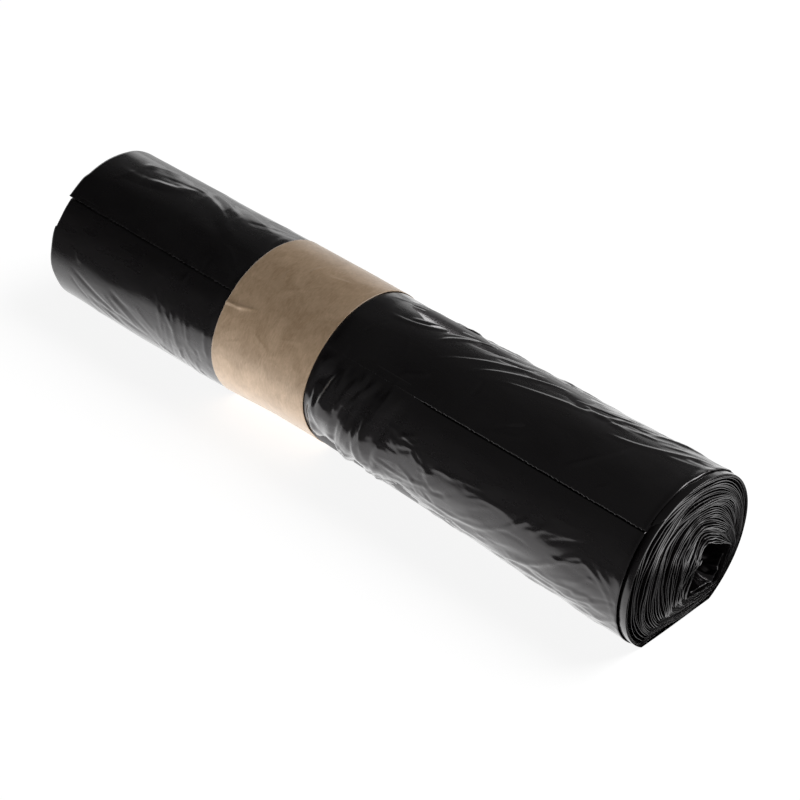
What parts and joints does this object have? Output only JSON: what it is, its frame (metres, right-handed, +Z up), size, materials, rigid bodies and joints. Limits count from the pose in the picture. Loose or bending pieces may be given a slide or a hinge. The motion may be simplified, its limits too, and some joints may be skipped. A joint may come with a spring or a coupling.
{
  "type": "bin bag roll",
  "caption": "Coreless roll of glossy black film sacks lying on its sagged side, held closed by a brown paper band.",
  "frame": {"origin": "on the floor under the middle of the roll", "axes": "+X along the roll towards the near end with the standing-off last turn set back, +Z up"},
  "size_m": [0.35, 0.0744, 0.0652],
  "materials": {
    "film": "glossy black polyethylene film, lightly creased",
    "kraft": "unbleached brown kraft paper, matt with a faint fibre mottle"
  },
  "bodies": {
    "root": {"bag_roll": "film", "paper_band": "kraft"}
  },
  "joints": []
}
